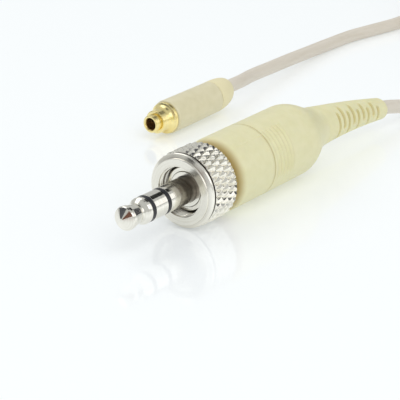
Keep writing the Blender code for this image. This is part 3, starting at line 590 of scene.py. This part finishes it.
# The front shell: its rounded rim, the barrel, the seam's face, the spigot, and the bore with the
# seat of the bush's collar.
rim_arc = np.radians(np.linspace(180, 90, 13))
rim = np.stack([FRONT_START + RIM_ROUND + RIM_ROUND * np.cos(rim_arc),
                SHELL_RADIUS - RIM_ROUND + RIM_ROUND * np.sin(rim_arc)], axis=1)
front_outline = np.vstack([
    [(FRONT_START, 2.38)],
    rim,
    [(station, SHELL_RADIUS) for station in (19.86, 20.2, 20.6, 21.5, 23.5, 25.4, 25.80)],
    rounded([(SEAM, SHELL_RADIUS, 0.14), (SEAM, SPIGOT_RADIUS, 0), (28.30, SPIGOT_RADIUS, 0.05),
             (28.30, REAR_BORE_RADIUS, 0), (20.57, REAR_BORE_RADIUS, 0), (20.57, 3.26, 0),
             (19.25, 3.26, 0), (19.25, 2.38, 0)])])
front_angles = dense_angles(96, MOULD_LINE)
# Painted shade: the rounded rim darkens to amber towards its front edge; the seam's line is a little darker.
rim_shade_and_seam_line = 1 - smooth((front_outline[:, :1] - FRONT_START) / 1.5)
rim_shade_and_seam_line = np.maximum(rim_shade_and_seam_line, 0.22 * (np.abs(front_outline[:, :1] - SEAM) < 0.12))
front = grid_mesh("front_housing", on_plug(shell_grid(front_outline, front_angles, mould_relief)),
                  wrap_rows=True, shade_and_tint=rim_shade_and_seam_line)
ride_as(front, cream, "cream_housing", "jack", "front_shell")

# The rear shell: the seam's face, the ribbed barrel in close rows, the plain barrel, the shoulder
# as a smooth step down to the neck, and the bore with the seat of the strain relief's head.
share = np.linspace(0, 1, 22)
shoulder = np.stack([SHOULDER_START + (SHELL_END - SHOULDER_START) * share,
                     SHELL_RADIUS - (SHELL_RADIUS - NECK_RADIUS) * smooth(share)], axis=1)
rear_outline = np.vstack([
    [(25.96, 4.06), (25.96, 4.90), (26.00, 4.97), (26.05, SHELL_RADIUS)],
    [(station, SHELL_RADIUS) for station in np.linspace(26.10, 30.6, 76)],
    [(station, SHELL_RADIUS) for station in (31.5, 33.0, 34.5, 35.2)],
    shoulder,
    [(SHELL_END, 2.91), (SHELL_END, 1.91), (37.90, 1.91), (37.90, 2.66),
     (SHOULDER_START, REAR_BORE_RADIUS), (28.36, REAR_BORE_RADIUS), (28.36, 4.06)]])
rear_angles = dense_angles(112, GRIP_WINDOW[0] + 1)
relief = grip_relief(rear_outline[:, :1], np.degrees(rear_angles)[None, :])
# Painted shade: a little darker down between the ribs.
rib_valley_shade = (np.clip((GRIP_SINK - relief) / (2 * GRIP_SINK), 0, 1) - 0.5) * 0.2
at_seam = 0.22 * (rear_outline[:, :1] < 26.02)
rear = grid_mesh("rear_housing", on_plug(shell_grid(rear_outline, rear_angles, grip_relief)),
                 wrap_rows=True, shade_and_tint=np.maximum(rib_valley_shade, at_seam))
ride_as(rear, cream, "cream_housing", "jack", "rear_shell")


# ------------------------------------------------------------------ strain relief
# A sleeve moulded in soft PVC, a shade yellower than the housing and more matt.  Slots are cut
# part of the way round it, by turns higher and lower, so that it bends in a smooth curve.
BOOT_END = SHELL_END + BOOT_LENGTH
SLOT_FIRST = 45.20
SLOT_PITCH = 1.325
SLOT_COUNT = 9
SLOT_WIDTH = 0.70
SLOT_DEPTH = 0.58
SLOT_WINDOWS = ((183.0, 52.0), (153.0, 47.0))
SLOT_NARROWING = 1.2
BOOT_TIP_RADIUS = 1.56
BOOT_BORE = 1.10
TIP_ROUND = 0.55


def boot_radius(station):
    """Outside radius: it falls from the neck's to the tip's a little faster near the neck."""
    along = np.clip((station - SHELL_END) / BOOT_LENGTH, 0, 1)
    return NECK_RADIUS - (NECK_RADIUS - BOOT_TIP_RADIUS) * along ** 0.85


def slot_depth(x, degrees):
    """Depth of the slots: a rounded trench along the axis times a window of angles, repeated on
    the far side, whose middle moves up and down from slot to slot.  The windows give the middle
    and half width in degrees, and each slot is a little narrower than the one before."""
    depth = np.zeros(np.broadcast(x, degrees).shape)
    for number in range(SLOT_COUNT):
        centre, half = SLOT_WINDOWS[number % 2]
        half = half - SLOT_NARROWING * number
        off = np.abs((degrees - centre + 90) % 180 - 90)
        window = smooth((half - off) / 12.0)
        trench = smooth(1.6 * (1 - np.abs(x - SLOT_FIRST - SLOT_PITCH * number) / (SLOT_WIDTH / 2)))
        depth = np.maximum(depth, SLOT_DEPTH * window * trench)
    return depth


# Moulded soft PVC: the housing's cream with a duller, slightly uneven skin.  The second colour
# is a painted amber shade down in the slots.
soft, tree, shader, place = new_material("moulded_soft_pvc", ior=1.52)
mottled(tree, shader, place["Object"], 700.0, ("#E8E3B4", "#ECE7BB"), (0.46, 0.60), 0.000006, colour_of_shade_and_tint="#C2A64E")
shader.inputs["Subsurface Weight"].default_value = PLASTIC_DEPTH_SHARE
shader.inputs["Subsurface Radius"].default_value = PLASTIC_DEPTH

# The head that the rear shell holds, its neck, the slotted sleeve, the rounded tip, and the bore.
boot_angles = np.radians(np.linspace(0, 360, 120, endpoint=False))
sleeve_stations = np.linspace(SHELL_END + 0.10, BOOT_END - TIP_ROUND, 210)
tip_arc = np.radians(np.linspace(0, 90, 8))[1:]
boot_outline = np.vstack([
    [(36.84, BOOT_BORE), (36.84, 2.60), (37.84, 2.60), (37.84, 1.85), (42.16, 1.85),
     (42.16, NECK_RADIUS - 0.04)],
    np.stack([sleeve_stations, boot_radius(sleeve_stations)], axis=1),
    np.stack([BOOT_END - TIP_ROUND + TIP_ROUND * np.sin(tip_arc),
              BOOT_TIP_RADIUS - 0.8 * TIP_ROUND * (1 - np.cos(tip_arc))], axis=1),
    [(station, BOOT_BORE) for station in np.linspace(BOOT_END, SHELL_END, 12)]])
boot_station = boot_outline[:, :1] + 0 * boot_angles
boot_wall = boot_outline[:, 1:] + 0 * boot_angles
slots = slot_depth(boot_station, np.degrees(boot_angles)[None, :])
on_sleeve = (boot_wall > 1.4) & (boot_station > SHELL_END + 0.2)
boot_wall = boot_wall - slots * on_sleeve
sway, drop = boot_lean(boot_station)
boot_grid = np.stack([boot_station, boot_wall * np.cos(boot_angles) + sway,
                      boot_wall * np.sin(boot_angles) + drop], axis=-1)
# Painted shade: the slots darken to amber as they deepen.
boot = grid_mesh("strain_relief", on_plug(boot_grid), wrap_rows=True, sharp=50,
                 shade_and_tint=slots / SLOT_DEPTH * 0.6)
ride_as(boot, soft, "cream_boot", "jack", "cable_boot")


# ------------------------------------------------------------------ micro connector
# A coaxial connector that plugs in the microphone's boom: a turned, gold-plated socket with a
# bead and a centre pin, a cream barrel glued on its spigot and a softer, yellower end cap.
NOSE_RADIUS = 1.25
FLANGE_START = 1.07
FLARE_START = 1.99
SOCKET_END = 8.70
SOCKET_BORE = 0.85
PIN_RADIUS = 0.22
BARREL_SPAN = (3.70, 14.00)
CAP_DOME_START = 14.36
CAP_END = 18.36


def on_connector(grid):
    """Carry points from the turning axis to the small connector's: turned a little about the
    upright, moved to its nose, and bent with its cap."""
    turn = np.array([[math.cos(CONNECTOR_TURN), math.sin(CONNECTOR_TURN), 0],
                     [-math.sin(CONNECTOR_TURN), math.cos(CONNECTOR_TURN), 0], [0, 0, 1]])
    return grid @ turn + CONNECTOR_NOSE + connector_bend(grid[..., 0].mean(axis=-1, keepdims=True))


# Hard gold over nickel on turned brass: pale yellow, polished, its mirror images softened by the
# turning marks, which are drawn about a quarter of a millimetre apart so that they show.  The
# second colour is a painted deeper brown-gold for the shade and the light thrown about inside the
# bore.
gold, tree, shader, place = new_material("polished_gold_plate", metallic=1.0)
mottled(tree, shader, place["UV"], 4200.0, ("#FBE69C", "#FDEFB4"), (0.18, 0.32), 0.0000012,
        (1.0, 0.03, 1.0), colour_of_shade_and_tint="#A06A20")
fillet_arc = np.radians(np.linspace(0, 90, 8))
socket_outline = np.vstack([
    rounded([(0.20, SOCKET_BORE, 0.03), (0.0, 0.97, 0.05), (0.0, NOSE_RADIUS, 0.09),
             (0.85, NOSE_RADIUS, 0.04), (0.87, 1.12, 0.04), (FLANGE_START, 1.12, 0.04),
             (FLANGE_START, 1.68, 0.12), (FLARE_START, 1.68, 0)])[:-1],
    np.stack([FLARE_START + 1.13 * np.sin(fillet_arc), 1.68 + 0.50 * (1 - np.cos(fillet_arc))], axis=1),
    rounded([(3.12, 2.18, 0), (3.14, 2.28, 0.08), (3.64, 2.28, 0.08), (3.64, 1.88, 0),
             (SOCKET_END, 1.88, 0), (SOCKET_END, SOCKET_BORE, 0)])[1:]])
# Painted shade on the bore's wall inside the socket.
socket_bore_shade = np.clip((0.95 - socket_outline[:, 1:]) / 0.08, 0, 1) * 0.8
socket = grid_mesh("gold_socket", on_connector(turned_grid(socket_outline, ROUND_SIDES)),
                   wrap_rows=True, shade_and_tint=socket_bore_shade)
ride_as(socket, gold, "gold_plate", "jack", "connector_socket")
pin_outline = rounded([(1.20, 0.02, 0), (1.20, 0.13, 0.03), (1.40, PIN_RADIUS, 0.05),
                       (9.50, PIN_RADIUS, 0), (9.50, 0.02, 0)])
pin = grid_mesh("gold_pin", on_connector(turned_grid(pin_outline, 32)), caps=True)
ride_as(pin, gold, "gold_plate", "jack", "connector_pin")

# PTFE turned from rod: milky white and waxy, with no sharp mirror image.
bead_white, tree, shader, place = new_material("turned_white_ptfe", ior=1.38)
mottled(tree, shader, place["Object"], 1500.0, ("#DAD8D2", "#E9E8E3"), (0.40, 0.55), 0.00001)
bead_outline = rounded([(2.30, 0.28, 0), (2.30, 0.79, 0.05), (SOCKET_END, 0.79, 0),
                        (SOCKET_END, 0.28, 0)])
bead = grid_mesh("white_bead", on_connector(turned_grid(bead_outline, 48)), wrap_rows=True)
ride_as(bead, bead_white, "ptfe", "jack", "connector_insulator")

# ABS moulded in a greyer cream than the plug's housing: semi-gloss.  The cap takes seven tenths
# of the second colour, because it has yellowed and the barrel hasn't.
tan, tree, shader, place = new_material("moulded_tan_abs", ior=1.53)
mottled(tree, shader, place["Object"], 900.0, ("#DFD7B4", "#E4DCBB"), (0.34, 0.46), 0.000004, colour_of_shade_and_tint="#F2E8BC")
barrel_start, barrel_end = BARREL_SPAN
barrel_outline = rounded([(barrel_start, 1.94, 0), (barrel_start, 2.46, 0.24), (5.0, 2.448, 0),
                          (9.0, 2.409, 0), (barrel_end, 2.36, 0.05), (barrel_end, 1.94, 0)])
barrel = grid_mesh("small_barrel", on_connector(turned_grid(barrel_outline, 80)), wrap_rows=True)
ride_as(barrel, tan, "cream_housing", "jack", "connector_barrel")

# The cap's spigot in the barrel, its short straight skirt, its dome, and the cable's hole.
dome_arc = np.radians(np.linspace(0, 88, 18))
cap_outline = np.vstack([
    [(12.60, 1.46), (12.60, 1.88), (14.06, 1.88), (14.06, 2.32), (14.10, 2.36), (14.20, 2.36)],
    np.stack([CAP_DOME_START + (CAP_END - CAP_DOME_START) * np.sin(dome_arc),
              1.22 + 1.14 * np.cos(dome_arc)], axis=1),
    [(CAP_END, 1.10), (13.30, 1.10), (13.30, 1.46)]])
cap = grid_mesh("small_cap", on_connector(turned_grid(cap_outline, 80)), wrap_rows=True, shade_and_tint=0.7)
ride_as(cap, tan, "cream_boot", "jack", "connector_cap")


# ------------------------------------------------------------------ coil ties
# Woven nylon straps, black and matt, wrapped round the coil with their ends tucked in.
STRAP_WIDTH = 3.00
STRAP_THICKNESS = 0.38
STRAP_HALF_SPAN = 4.95
STRAP_HALF_HEIGHT = 4.06
STRAP_CENTRE_HEIGHT = 4.72
STRAP_SQUARENESS = 0.22
STRAP_ANGLES = (("near", 180.0), ("far", 20.0))


def strap_grid(angle):
    """A flat band carried round a rounded rectangle that encloses the coil's section.  The path
    is a super-ellipse, |u|^n + |v|^n = 1, and the section is a thin rectangle with soft ends."""
    t = np.linspace(2 * math.pi, 0, 96, endpoint=False)
    u = np.sign(np.cos(t)) * np.abs(np.cos(t)) ** STRAP_SQUARENESS
    v = np.sign(np.sin(t)) * np.abs(np.sin(t)) ** STRAP_SQUARENESS
    across = np.array([-1.5, -1.42, -1.0, 0.0, 1.0, 1.42, 1.5, 1.5, 1.42, 1.0, 0.0, -1.0, -1.42, -1.5])
    level = np.array([0.3, 0.0, 0, 0, 0, 0.0, 0.3, 0.7, 1.0, 1, 1, 1, 1.0, 0.7]) * STRAP_THICKNESS
    radial = (COIL_OUTER + COIL_INNER) / 2 + (STRAP_HALF_SPAN + level[None, :]) * u[:, None]
    height = STRAP_CENTRE_HEIGHT + (STRAP_HALF_HEIGHT + level[None, :]) * v[:, None]
    side = across[None, :] * STRAP_WIDTH / 3.0 + 0 * radial
    turn = math.radians(angle)
    x = COIL_CENTRE[0] + radial * math.cos(turn) - side * math.sin(turn)
    y = COIL_CENTRE[1] + radial * math.sin(turn) + side * math.cos(turn)
    return np.stack([x, y, height], axis=-1)


# Nylon yarn woven in a plain weave: black, matt, with a slight bloom.  The yarns of such a strap
# are half a millimetre apart and are drawn 1.2 mm apart so that they show.
woven, tree, shader, place = new_material("woven_black_nylon", ior=1.5)
warp = node(tree, "ShaderNodeTexWave", {"Vector": place["UV"]}, bands_direction="X", Scale=260.0)
weft = node(tree, "ShaderNodeTexWave", {"Vector": place["UV"]}, bands_direction="Y", Scale=260.0)
weave = node(tree, "ShaderNodeMath", {0: warp.outputs["Fac"], 1: weft.outputs["Fac"]}, operation="MULTIPLY")
ramp = node(tree, "ShaderNodeValToRGB", {"Fac": weave.outputs["Value"]})
ramp.color_ramp.elements[0].color = hex_colour("#141416")
ramp.color_ramp.elements[1].color = hex_colour("#3A3A3E")
lift = node(tree, "ShaderNodeBump", {"Height": weave.outputs["Value"]}, Distance=0.00008)
tree.links.new(ramp.outputs["Color"], shader.inputs["Base Color"])
tree.links.new(lift.outputs["Normal"], shader.inputs["Normal"])
shader.inputs["Roughness"].default_value = 0.75
shader.inputs["Sheen Weight"].default_value = 0.3
for label, angle in STRAP_ANGLES:
    strap = grid_mesh(f"coil_tie_{label}_strap", strap_grid(angle), wrap_rows=True)
    ride_as(strap, woven, "tie_strap", "jack", "coil_tie_" + label)


# ------------------------------------------------------------------ pieces inside
# What the shells hide keeps its plain shape: lugs, ferrules and a washer stamped from brass and
# plated with nickel, cores insulated in red and white PVC, and the twisted copper screen.
def coat(nodes, name, metallic, colours, roughness, scale, bump):
    """A noise-shaded finish on Object coordinates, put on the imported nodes' own slots."""
    material, tree, shader, place = new_material(name, metallic=metallic)
    mottled(tree, shader, place["Object"], scale, colours, roughness, bump)
    for label in nodes:
        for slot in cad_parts[label].material_slots:
            slot.material = material


coat(("thrust_washer", "tip_lug", "ring_lug", "ground_lug", "crimp_ferrule", "connector_ferrule"),
     "stamped_nickel_plate", 1.0, ("#DAD6CA", "#EFECE3"), (0.18, 0.32), 2500.0, 0.00001)
coat(("tip_core",),
     "red_wire_insulation", 0.0, ("#A82A22", "#BC352B"), (0.40, 0.55), 1200.0, 0.00001)
coat(("ring_core", "connector_core"),
     "white_wire_insulation", 0.0, ("#DAD9D5", "#EDECE8"), (0.40, 0.55), 1200.0, 0.00001)
coat(("screen_pigtail",),
     "bare_copper_strands", 1.0, ("#B8694A", "#D98A66"), (0.25, 0.45), 5000.0, 0.00006)


# ------------------------------------------------------------------ floor and light
# A white acrylic sheet, polished where the lead lies and matt further out, lit from beneath a
# little, under an even white sky and two softboxes.  Dark cards and bright panels stand round it
# only for the metal to mirror.
FLOOR_HALF = 1.5
POLISHED_TO = 0.10
MATT_FROM = 0.24
floor_mesh = bpy.data.meshes.new("floor")
floor_mesh.from_pydata([(-FLOOR_HALF, -FLOOR_HALF, 0), (FLOOR_HALF, -FLOOR_HALF, 0),
                        (FLOOR_HALF, FLOOR_HALF, 0), (-FLOOR_HALF, FLOOR_HALF, 0)], [], [(0, 1, 2, 3)])
floor = bpy.data.objects.new("floor", floor_mesh)
bpy.context.scene.collection.objects.link(floor)
acrylic, tree, shader, place = new_material("white_acrylic", ior=1.49)
shader.inputs["Base Color"].default_value = hex_colour("#DFE1E2")
shader.inputs["Emission Color"].default_value = hex_colour("#F6FBFD")
shader.inputs["Emission Strength"].default_value = 0.30
reach = node(tree, "ShaderNodeVectorMath", {0: place["Object"]}, operation="LENGTH")
gloss = node(tree, "ShaderNodeMapRange", {"Value": reach.outputs["Value"]}, interpolation_type="SMOOTHSTEP")
for socket, value in (("From Min", POLISHED_TO), ("From Max", MATT_FROM),
                      ("To Min", 0.09), ("To Max", 0.70)):
    gloss.inputs[socket].default_value = value
tree.links.new(gloss.outputs["Result"], shader.inputs["Roughness"])
floor_mesh.materials.append(acrylic)

world = bpy.data.worlds.new("studio")
bpy.context.scene.world = world
world.use_nodes = True
sky = world.node_tree.nodes["Background"]
sky.inputs["Color"].default_value = (0.98, 1.0, 1.0, 1)
sky.inputs["Strength"].default_value = 0.60


def aimed(thing, place, aim):
    """Stand a light or card at a place, in metres, facing a point."""
    thing.location = place
    thing.rotation_euler = (Vector(aim) - Vector(place)).to_track_quat("-Z", "Y").to_euler()
    bpy.context.scene.collection.objects.link(thing)


def softbox(name, place, aim, size, power):
    """A square area light.  Shiny reflections show the cards and panels instead of it."""
    data = bpy.data.lights.new(name, "AREA")
    data.shape = "SQUARE"
    data.size = size
    data.energy = power
    made = bpy.data.objects.new(name, data)
    aimed(made, place, aim)
    made.visible_glossy = False


def card(name, place, aim, width, height, glow=0.0, colour="#0C0B0A"):
    """A matt card, or a panel that glows, out of view: only shiny reflections show it."""
    mesh = bpy.data.meshes.new(name)
    w, h = width / 2, height / 2
    mesh.from_pydata([(-w, -h, 0), (w, -h, 0), (w, h, 0), (-w, h, 0)], [], [(0, 1, 2, 3)])
    surface, tree, shader, where = new_material(name + "_surface")
    shader.inputs["Base Color"].default_value = hex_colour(colour)
    shader.inputs["Roughness"].default_value = 0.9
    shader.inputs["Emission Color"].default_value = hex_colour("#FFFFFF" if glow else "#000000")
    shader.inputs["Emission Strength"].default_value = glow
    mesh.materials.append(surface)
    made = bpy.data.objects.new(name, mesh)
    aimed(made, place, aim)
    made.visible_camera = False
    made.visible_shadow = False
    made.visible_diffuse = False


lead = (0.02, 0, 0)
softbox("key", (-0.16, -0.30, 0.42), lead, 0.60, 1.15)
softbox("fill", (0.02, 0.34, 0.42), lead, 0.40, 0.62)
plug = (-0.02, 0, 0.005)
card("dark_behind_high", (0.245, 0.012, 0.237), plug, 0.16, 0.06)
card("dark_behind_right", (0.394, -0.105, 0.102), plug, 0.26, 0.20, colour="#48484E")
card("dark_behind_low", (0.46, 0.17, 0.05), plug, 0.26, 0.07)
card("dark_front_left", (-0.30, 0.26, 0.10), plug, 0.26, 0.20, colour="#55565C")
card("dark_front", (-0.40, -0.03, 0.10), plug, 0.18, 0.20, colour="#7A5040")
card("dark_front_high", (-0.303, 0.087, 0.246), plug, 0.12, 0.10)
card("dark_overhead", (-0.01, 0.0, 0.50), plug, 0.20, 0.20)
card("glow_left", (0.02, 0.32, 0.42), plug, 0.36, 0.30, glow=1.7)
card("glow_side", (-0.03, -0.37, 0.26), plug, 0.34, 0.26, glow=1.6)
card("glow_right", (0.268, -0.32, 0.169), plug, 0.26, 0.25, glow=1.2)
